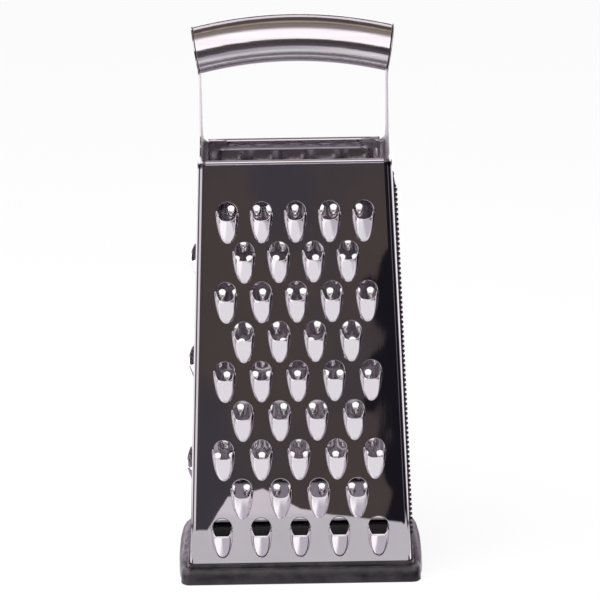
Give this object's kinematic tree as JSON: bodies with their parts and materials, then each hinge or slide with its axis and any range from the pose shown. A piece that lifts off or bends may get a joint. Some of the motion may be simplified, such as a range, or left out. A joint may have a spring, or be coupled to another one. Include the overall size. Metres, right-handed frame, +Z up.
{
  "type": "box grater",
  "caption": "Four-sided kitchen grater of polished sheet steel that widens towards its foot, with an arched brushed grip on two legs and a rubber ring round the base.",
  "frame": {"origin": "middle of the footprint, on the table", "axes": "+Z up, -Y out of the coarse face, -X out of the slicing face"},
  "size_m": [0.1104, 0.0762, 0.2452],
  "materials": {
    "polished_steel": "mirror polished sheet steel",
    "brushed_steel": "steel brushed along the grip",
    "dark_rubber": "matt dark grey rubber"
  },
  "bodies": {
    "root": {"front_panel": "polished_steel", "back_panel": "polished_steel", "left_panel": "polished_steel", "right_panel": "polished_steel", "grip_tube": "brushed_steel", "base_ring": "dark_rubber"}
  },
  "joints": []
}
